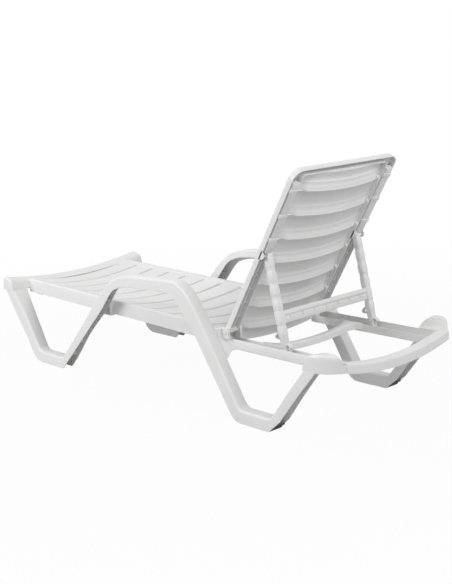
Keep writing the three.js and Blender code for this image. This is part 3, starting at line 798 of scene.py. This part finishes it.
def prop_seats():
    """The raised seats for the prop's feet, one at each end of their travel."""
    base_half, top_half, inset = 6, 5, 3
    low, high = RAIL_LOW + inset, FOOT_AT.z - FOOT_SEAT
    seats = []
    for y in (FOOT_AT.y, FOOT_AT.y + FOOT_TRAVEL):
        outline = [(y - base_half, low), (y + base_half, low), (y + top_half, high), (y - top_half, high)]
        seats.append(plate_x(outline, RAIL_IN + inset, RAIL_OUT - inset))
    on_both_sides("foot_seats", merged(*seats), ["prop_seats"], bevel=BEVEL)


def seat_apron():
    """The curved wall under the last slat, with a rounded lower edge."""
    top, low, r = DECK_HINGE_Z - 2, DECK_HINGE_Z - 45, 2.0
    y0, y1, half = DECK_END - 1, DECK_END + WALL, RAIL_IN + 2
    section = [(y0, top), (y1, top), (y1, low + r), (y1 - r, low), (y0 + r, low), (y0, low + r)]
    rings = [[(x, y, z + dish(x)) for y, z in section] for x in span(-half, half, 28)]
    base_piece("apron", loft(rings), ["seat_apron"])


def mid_brace():
    """A dished channel across the rear rails, open below, that widens where it meets them."""
    front, depth, top, height, sag = 525.0, 30.0, 254.0, 23.0, 15.0
    r, flare, overlap = 6.0, 42.0, 1
    low, hollow = top - height, top - WALL - 2
    rings = []
    for x in span(-RAIL_IN - overlap, RAIL_IN + overlap, 44):
        near = min(max(abs(x) - (RAIL_IN - flare), 0), flare)
        out = flare - math.sqrt(flare ** 2 - near ** 2)
        a, b = front - out, front + depth + out
        section = [(a, low)] + arc((a + r, top - r), r, 180, 90, 4) + arc((b - r, top - r), r, 90, 0, 4)
        section += [(b, low), (b - WALL, low), (b - WALL, hollow), (a + WALL, hollow), (a + WALL, low)]
        drop = sag * ((x / RAIL_IN) ** 2 - 1)
        rings.append([(x, y, z + drop) for y, z in section])
    base_piece("brace", loft(rings), ["mid_brace"], smooth=50)


def head_bar():
    """The bowed and dished bar at the head end, a rounded channel open below."""
    top, back_low, r, bow, overlap = 267.0, 243.0, 6.0, 10, 12
    front, back, hollow = HEAD_END - bow, RAIL_END, top - WALL - 4
    section = [(back, back_low)]
    section += arc((back + r, top - r), r, 180, 90, 4) + arc((front - r, top - r), r, 90, 0, 5)
    section += [(front, HORN_LOW), (front - WALL, HORN_LOW), (front - WALL, hollow), (back + WALL, hollow),
                (back + WALL, back_low)]
    rings = []
    for x in span(-RAIL_OUT - overlap, RAIL_OUT + overlap, 38):
        forward = bow * (1 - (x / RAIL_OUT) ** 2)
        rings.append([(x, y + forward, z + dish(x)) for y, z in section])
    base_piece("end_bar", loft(rings), ["head_bar"], smooth=50)


def horn_reach(x):
    """How far towards the head end a horn goes at a distance x from the lounger's middle line."""
    plan = [(-8, 0), (5, 1), (22, 13), (48, 33), (62, 51), (69, 69), (HORN_OUT - RAIL_OUT, 81)]
    out = x - RAIL_OUT
    for (a, short_a), (b, short_b) in zip(plan, plan[1:]):
        if out <= b:
            break
    return HORN_END - lerp(short_a, short_b, min((out - a) / (b - a), 1))


def horns():
    """Blocks at the two head-end corners that carry on the legs, rounded off towards the end bar."""
    inner, ledge, ledge_middle, ledge_width, step, r = RAIL_OUT - 4, 262.0, 12, 20, 16, 14.0
    rise, fold, fold_share, soften, low_zone = 15, 12, 0.2, 0.9, 40
    profile_shares = [(0, 0), (0.06, 0.32), (0.19, 0.72), (0.34, 0.9), (0.55, 0.98), (0.75, 1), (0.9, 0.97),
                      (0.96, 0.9), (0.99, 0.78), (1, 0.62), (1, 0.3), (1, 0)]
    curve = path_through(shares(profile_shares, 0, 1, HORN_LOW, HORN_TOP), 4)
    step_in = inner + ledge_width
    flat = [inner, inner + ledge_middle] + span(step_in, step_in + step, 8)
    flat += span(step_in + step, HORN_OUT - r, 6)[1:]
    rings = []
    for x, shrink in [(x, 0.0) for x in flat] + rounded_edge(HORN_OUT, r, 7):
        cap = lerp(ledge, HORN_TOP, smoothstep(clamp((x - step_in) / rise)))
        ring = []
        for share, height in curve:
            z = height - shrink * smoothstep(clamp((height - HORN_LOW) / low_zone)) * soften
            if z > cap - fold:
                z = min(z, cap - fold_share * (HORN_TOP - z))
            ring.append((x, lerp(HORN_START, horn_reach(x), share), z))
        rings.append(ring)
    on_both_sides("horn", loft(rings), ["head_horn"], smooth=55)


# Hinge lugs and pins.

def clip_ring(x):
    """A round clip, open towards the foot end, that stands out from the outer lug."""
    inner, outer, width = 7.5, 11, 4
    rings = []
    for c, s in arc((0, 0), 1, -140, 140, 24):
        rings.append([(x + h, HINGE.y + r * c, HINGE.z + r * s)
                      for h, r in ((0, outer), (0, inner), (width, inner), (width, outer))])
    return loft(rings)


def hinge_lugs():
    """Lugs on both sides of each stile, a round clip on the outer one, and the pin through them."""
    big, small, sunk = 9.0, 4, 0.5
    for which in ("outer", "inner"):
        low, high = corners(f"hinge_lug_{which}_left")
        outline = [(low.y, low.z), (high.y, low.z)]
        outline += arc((high.y - big, high.z - big), big, 0, 90, 6)
        outline += arc((low.y + small, high.z - small), small, 90, 180, 3)
        shape = plate_x(outline, low.x, high.x)
        if which == "outer":
            shape = merged(shape, clip_ring(high.x - sunk))
        on_both_sides(f"lug_{which}", shape, [f"hinge_lug_{which}"], bevel=BEVEL)
    low, high = corners("hinge_pin_left")
    on_both_sides("pivot", round_rod(PIVOT_RADIUS, low.x, high.x, HINGE.y, HINGE.z), ["hinge_pin"])


# Rubber pads under the heels of the rear legs.

def foot_pads():
    """Thin pads along the chamfer of each heel, with a wavy lower edge."""
    tip_y, start_share, end_share, steps = 678.0, 0.1, 0.62, 14
    thick, wave, thinning, least, sunk, waves, inset = 1.9, 1.1, 0.8, 0.4, 0.6, 4, 1
    heel, tip = Vector((lerp(REAR_START, REAR_END, HEEL_SHARE), 0.0)), Vector((tip_y, CHAMFER_Z))
    along = (tip - heel).normalized()
    out = Vector((along.y, -along.x))
    upper, lower = [], []
    for t in span(start_share, end_share, steps):
        at = heel.lerp(tip, t)
        point = at + out * max(thick + wave * math.cos(t * waves * 2 * math.pi) - thinning * t, least)
        upper.append(at - out * sunk)
        lower.append(Vector((point.x, max(point.y, 0.0))))
    outline = upper + lower[::-1]
    pad = loft([[(x, *p) for p in outline] for x in span(BAND_INNER + inset, BAND_OUTER - inset, 3)])
    on_both_sides("pad", pad, ["rear_foot_pad"], slot="black_rubber")


# Backrest.

def back_sag(x):
    """Place of the dished bands in front of the stiles, negative between them."""
    return BACK_DISH * ((x / STILE_IN) ** 2 - 1)


def rim_path(half, top, radius):
    """An upside-down U of (u, v): up one side, round the corner, over the top and down again."""
    start, straight_steps, round_steps = -4, 14, 12
    path = [Vector((half, v)) for v in span(start, top - radius, straight_steps)]
    path += [Vector(p) for p in arc((half - radius, top - radius), radius, 0, 90, round_steps)]
    path += [Vector((u, top)) for u in span(half - radius, 0, straight_steps)[1:]]
    return path + [Vector((-p.x, p.y)) for p in reversed(path[:-1])]


def back_rim():
    """The outer channel of the backrest: both stiles and the top bar, closed towards the sitter."""
    r, edge, inner_edge = 5.0, 1.0, 3
    front, rear = BACK_FRONT, -BACK_FRONT
    outer = rim_path(BACK_HALF, BACK_LENGTH, radius=35.0)
    inner = rim_path(STILE_IN, BACK_LENGTH - TOP_BAR, radius=14.0)
    rings = []
    for o, i in zip(outer, inner):
        width = (i - o).length
        across = (i - o) / width
        section = [(edge, rear), (0.0, rear + edge)] + arc((r, front - r), r, 180, 90, 4)
        section += [(width - inner_edge, front), (width, front - inner_edge), (width, rear + edge),
                    (width - edge, rear), (width - WALL + edge, rear), (width - WALL, rear + edge),
                    (width - WALL, front - WALL), (WALL, front - WALL), (WALL, rear + edge),
                    (WALL - edge, rear)]
        rings.append([(*(o + across * d), w) for d, w in section])
    back_piece("back_rim", loft(rings), ["back_stile_left", "back_stile_right", "back_top"], smooth=40)


def ridge_stations():
    """Places across the back, closer together towards the ridges' ends and the notches beside the lugs."""
    even_to = 156
    half = span(0, even_to, 14) + [162, 167, 172, 177, 182, 187.5, 188.5, 193, STILE_IN + 1]
    return [-x for x in reversed(half[1:])] + half


def back_slat_section(low, lip, top, depth):
    """Outline of (v, w) of one band: a thin skin, and a ridge behind it with fine steps."""
    skin, ridge, front = 3.0, 38.0, BACK_FRONT
    ridge_shares = [(1.1, 0.0), (1.0, 0.04), (0.9, 0.12), (0.82, 0.23), (0.8, 0.3), (0.66, 0.38),
                    (0.55, 0.48), (0.45, 0.61), (0.43, 0.66), (0.3, 0.78), (0.16, 0.94), (0.13, 0.99),
                    (0.08, 1.0), (0.05, 0.96), (0.04, 0.3)]
    low_edge, flat_start, top_edge = [(1, 7), (2.5, 2.5), (7, 0)], 26, 3
    section = [(low + up, front - back) for up, back in low_edge]
    section += [(v, front) for v in span(lip + flat_start, top - top_edge, 4)]
    section += [(top, front - skin / 2), (top - 1, front - skin)]
    section += [(lerp(top, lip + ridge, 0.5), front - skin)]
    for along, deep in ridge_shares:
        v = lerp(low, lip, min(along, 1)) + ridge * along
        section.append((v, lerp(front - skin, front - depth, deep)))
    return section


def back_slats():
    """Thin dished skins that swell into a deep ridge along their lower edge."""
    middle_depth, end_depth, ease_start, ease_length = 23.0, 12.0, 160, 26
    notch_x, notch_top, gap = 188, 24.5, 8
    for i in range(BACK_SLATS):
        lip = FIRST_BACK_LIP + BACK_PITCH * i
        top = BACK_LENGTH - TOP_BAR - 1 if i == BACK_SLATS - 1 else lip + BACK_PITCH - gap
        rings = []
        for x in ridge_stations():
            depth = lerp(middle_depth, end_depth, smoothstep(clamp((abs(x) - ease_start) / ease_length)))
            low = notch_top if i == 0 and abs(x) > notch_x else lip
            rings.append([(x, v, w + back_sag(x)) for v, w in back_slat_section(low, lip, top, depth)])
        back_piece(f"back_slat_skin_{i + 1}", loft(rings), [f"back_slat_{i + 1}"], smooth=30)


def top_web():
    """The wall between the straight top bar and the dished top slat."""
    middle, half, high = BACK_LENGTH - TOP_BAR, 2, BACK_FRONT - 2
    rings = []
    for x in span(-STILE_IN, STILE_IN, 24):
        low = BACK_FRONT - WALL + back_sag(x)
        rings.append([(x, middle - half, high), (x, middle + half, high), (x, middle + half, low),
                      (x, middle - half, low)])
    back_piece("top_web", loft(rings))


def stile_tubes():
    """The rib that fills the upper part of each stile's channel, with three collars."""
    start, end, lift, edge = 346.0, 618.0, -8.5, 1.6
    base, crest, half, soft_run, soft_drop, crest_run = 15.5, 18.2, 8, 0.8, 0.6, 2
    steps = [(0, base - edge), (edge, base)]
    for at in (52, 146, 243):
        low, high = at - half, at + half
        steps += [(low, base), (low + soft_run, crest - soft_drop), (low + crest_run, crest),
                  (high - crest_run, crest), (high - soft_run, crest - soft_drop), (high, base)]
    steps += [(end - start - edge, base), (end - start, base - edge)]
    offset = Vector(((STILE_IN + BACK_HALF) / 2, start, lift))
    rod = placed(collared_rod(steps, sides=28, flat=0.66), lambda v: v + offset)
    on_both_sides("stile_tube", rod, ["stile_rib"], back_piece, smooth=40)


def stile_insides():
    """The thin long rib and cross ribs in the lower part of each stile."""
    long_start, long_end, long_rear, cross_rear, inset = 14, 318, -5, -2, 2
    boss_radius, boss_inset = 11, 0.4
    middle, high = (STILE_IN + BACK_HALF) / 2, BACK_FRONT - 3
    long_rib = block(middle - RIB_HALF, middle + RIB_HALF, long_start, long_end, long_rear, high)
    cross = [rib(STILE_IN + inset, BACK_HALF - inset, v, cross_rear, high)
             for v in span(60, 300, 4) + [PROP_ALONG + 15]]
    boss = round_rod(boss_radius, STILE_IN + boss_inset, BACK_HALF - boss_inset, 0, 0)
    on_both_sides("stile_inside", merged(long_rib, *cross), make=back_piece)
    on_both_sides("stile_boss", boss, make=back_piece)


def prop_ears():
    """Rounded ears behind each stile that carry the prop's pivot, and the pin between them."""
    radius, neck, foot, sunk, root = 13, 15, 20, 2, -4
    centre = (PROP_ALONG, sunk - PROP_BEHIND)
    outline = [(PROP_ALONG - foot, root), (PROP_ALONG - neck, centre[1])] + arc(centre, radius, 180, 360, 10)
    outline += [(PROP_ALONG + neck, centre[1]), (PROP_ALONG + foot, root)]
    ears = [plate_x(outline, x, x + WALL) for x in (STILE_IN, BACK_HALF - WALL)]
    pin = round_rod(PIVOT_RADIUS, STILE_IN + WALL, BACK_HALF - WALL, PROP_ALONG, -PROP_BEHIND)
    on_both_sides("prop_ears", merged(*ears), make=back_piece, bevel=BEVEL)
    on_both_sides("prop_pivot", pin, ["prop_pin"], back_piece)


# Prop.

def strut_hook(at, direction, reach, size):
    """A small curled tab that stands out from the strut."""
    base, half_width, half_thick = 9.0, 7, 1.9
    hook_shares = [(-1, 0), (-0.2, 0.55), (0.8, 1), (1.7, 0.9), (2, 0.5)]
    line = path_through([(at + size * a, direction * (base + reach * b)) for a, b in hook_shares], 5)
    rings = []
    for i, p in enumerate(line):
        along = heading(line, i)
        side = Vector((-along.y, along.x)) * half_thick
        rings.append([(x, *(p + side * k)) for x, k in ((-half_width, -1), (half_width, -1), (half_width, 1),
                                                        (-half_width, 1))])
    return loft(rings)


def struts():
    """Two collared bars, with a boss round the pivot, a hook and a toe near the foot, and a rounded foot."""
    wide, slim, edge, soft, pivot_boss, foot_boss = 13.3, 12.1, 1.4, 0.4, 12, 9.6
    steps = [(-14, 10.4), (-12.5, 11.8)]
    for a, b in ((14, 40), (58, 86), (104, 134), (152, 184), (186, 231), (238, 268)):
        steps += [(a, slim), (a + edge, wide - soft), (a + edge * 2, wide),
                  (b - edge * 2, wide), (b - edge, wide - soft), (b, slim)]
    steps += [(STRUT - 26, slim), (STRUT - 22, 10.5), (STRUT - 4, 9.6), (STRUT + 2, 8.8), (STRUT + 6.5, 6.3),
              (STRUT + 8.5, 4)]
    shape = merged(collared_rod(steps, sides=32),
                   strut_hook(260, direction=-1, reach=24.0, size=8.0),
                   strut_hook(300, direction=1, reach=15.0, size=6.0),
                   round_rod(pivot_boss, -PROP_HALF, PROP_HALF, 0, 0),
                   round_rod(foot_boss, -PROP_HALF, PROP_HALF, STRUT, 0))
    shape = placed(shape, lambda v: v + Vector((PROP_X, 0, 0)))
    on_both_sides("strut", shape, ["prop_strut"], prop_piece, smooth=38)


def crossbar():
    """A round-topped band between the struts, with a flatter band below it that carries small tabs."""
    end, middle, r = PROP_X - 11, 197.5, 9.5
    neck, low, soft, neck_half, front_half, back_half, low_half = 207, 229, 3, 3.4, 6.4, 6, 4
    tab_steps, tab_reach, tab_half, tab_depth, tab_rear, tab_front = 6, 172, 4.5, 3.5, 3, 10
    section = [(middle - r, 0)] + arc((middle, 0), r, 170, 25, 8)
    section += [(neck, neck_half), (neck + soft / 2, front_half), (low - soft, front_half), (low, low_half)]
    section += [(low, -low_half), (low - soft, -back_half), (neck + 1, -back_half)]
    section += arc((middle, 0), r, -30, -170, 8)
    band = loft([[(x, v, w) for v, w in section] for x in span(-end, end, 16)])
    tabs = [rib(x - tab_half, x + tab_half, neck + tab_depth, tab_rear, tab_front, tab_depth)
            for x in span(-tab_reach, tab_reach, tab_steps)]
    prop_piece("cross_tube", merged(band, *tabs), ["prop_crossbar"], smooth=40)


# Studio.

def camera():
    """The photograph's viewpoint: where it looks, from how far, and its tilt."""
    target = Vector((0, 89, 314))
    azimuth, elevation, roll, distance = 2.4169359, 0.22242465, -0.05585054, 4052.05
    focal_px, centre_px, image_px = 1088.80, (224.807, 298.288), (452, 584)
    back = Vector((math.sin(azimuth) * math.cos(elevation), -math.cos(azimuth) * math.cos(elevation),
                   math.sin(elevation)))
    level_right = (-back).cross(Vector((0, 0, 1))).normalized()
    level_up = level_right.cross(-back)
    right = level_right * math.cos(roll) + level_up * math.sin(roll)
    up = level_up * math.cos(roll) - level_right * math.sin(roll)
    data = bpy.data.cameras.new("photo_camera")
    data.sensor_width = 36
    data.lens = focal_px * data.sensor_width / image_px[1]
    data.shift_x = (image_px[0] / 2 - centre_px[0]) / image_px[1]
    data.shift_y = (centre_px[1] - image_px[1] / 2) / image_px[1]
    data.clip_end = 100
    item = bpy.data.objects.new("photo_camera", data)
    place = (target + back * distance) * MM
    item.matrix_world = Matrix((right, up, back)).transposed().to_4x4()
    item.matrix_world.translation = place
    bpy.context.scene.collection.objects.link(item)
    bpy.context.scene.camera = item


def area_light(name, place, size, power):
    """A rectangular lamp that looks at the seat; place and size are in metres."""
    target = Vector((0, 0, 0.35))
    data = bpy.data.lights.new(name, "AREA")
    data.shape = "RECTANGLE"
    data.size, data.size_y = size
    data.energy = power
    item = bpy.data.objects.new(name, data)
    item.location = place
    item.rotation_euler = (target - Vector(place)).to_track_quat("-Z", "Y").to_euler()
    bpy.context.scene.collection.objects.link(item)


def math_node(tree, operation, first, second):
    node = tree.nodes.new("ShaderNodeMath")
    node.operation = operation
    tree.links.new(first, node.inputs[0])
    tree.links.new(second, node.inputs[1])
    return node.outputs["Value"]


def seen_white(tree):
    """1 where the camera, a reflection or a transmitted ray looks, so the backdrop is white there."""
    rays = tree.nodes.new("ShaderNodeLightPath").outputs
    seen = math_node(tree, "MAXIMUM", rays["Is Camera Ray"], rays["Is Glossy Ray"])
    return math_node(tree, "MAXIMUM", seen, rays["Is Transmission Ray"])


def world_light(level):
    world = bpy.data.worlds.new("studio")
    world.use_nodes = True
    tree = world.node_tree
    sky = tree.nodes["Background"]
    sky.inputs["Color"].default_value = (1, 1, 1, 1)
    tree.links.new(ramp(tree, seen_white(tree), level, 1.0, 0.0, 1.0), sky.inputs["Strength"])
    bpy.context.scene.world = world


def floor():
    """A large pale plane. It fades to plain white towards the distance, so that no horizon shows."""
    half, near, far, near_white, grey, dull = 30.0, 1.2, 3.0, 0.96, 0.5, 0.9
    outline = [(-half, -half, 0), (half, -half, 0), (half, half, 0), (-half, half, 0)]
    mesh = bpy.data.meshes.new("floor")
    mesh.from_pydata(outline, [], [(0, 1, 2, 3)])
    item = bpy.data.objects.new("floor", mesh)
    bpy.context.scene.collection.objects.link(item)
    material, tree, shader = new_material("pale_floor")
    set_inputs(shader, {"Base Color": (grey, grey, grey, 1), "Roughness": dull})
    glow = tree.nodes.new("ShaderNodeEmission")
    glow.inputs["Strength"].default_value = 1.0
    coords = tree.nodes.new("ShaderNodeTexCoord")
    length = tree.nodes.new("ShaderNodeVectorMath")
    length.operation = "LENGTH"
    tree.links.new(coords.outputs["Object"], length.inputs[0])
    fade = ramp(tree, length.outputs["Value"], near_white, 1.0, near, far)
    blend = tree.nodes.new("ShaderNodeMixShader")
    tree.links.new(math_node(tree, "MULTIPLY", seen_white(tree), fade), blend.inputs["Fac"])
    tree.links.new(shader.outputs["BSDF"], blend.inputs[1])
    tree.links.new(glow.outputs["Emission"], blend.inputs[2])
    tree.links.new(blend.outputs["Shader"], tree.nodes["Material Output"].inputs["Surface"])
    mesh.materials.append(material)


def dress_frame():
    """Gives each CAD node that still shows the finish of the pieces around it."""
    for name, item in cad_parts.items():
        slot = "black_rubber" if "pad" in name else "white_resin"
        for holder in item.material_slots:
            holder.material = MATERIALS[slot]


camera()
world_light(level=0.4)
area_light("key", place=(3.6, -1.3, 2.1), size=(2.0, 2.0), power=80)
area_light("back", place=(0.2, 3.5, 3.1), size=(3.0, 2.6), power=76)
area_light("front", place=(0.4, -1.6, 3.6), size=(2.2, 2.2), power=22)
floor()
dress_frame()
side_bands()
band_ribs()
seat_slats()
seat_rails()
rail_ribs()
foot_panel()
foot_corners()
front_ties()
rear_ties()
rear_rails()
prop_seats()
seat_apron()
mid_brace()
head_bar()
horns()
hinge_lugs()
foot_pads()
back_rim()
back_slats()
top_web()
stile_tubes()
stile_insides()
prop_ears()
struts()
crossbar()

bpy.context.scene.view_settings.view_transform = "Standard"
bpy.context.view_layer.update()
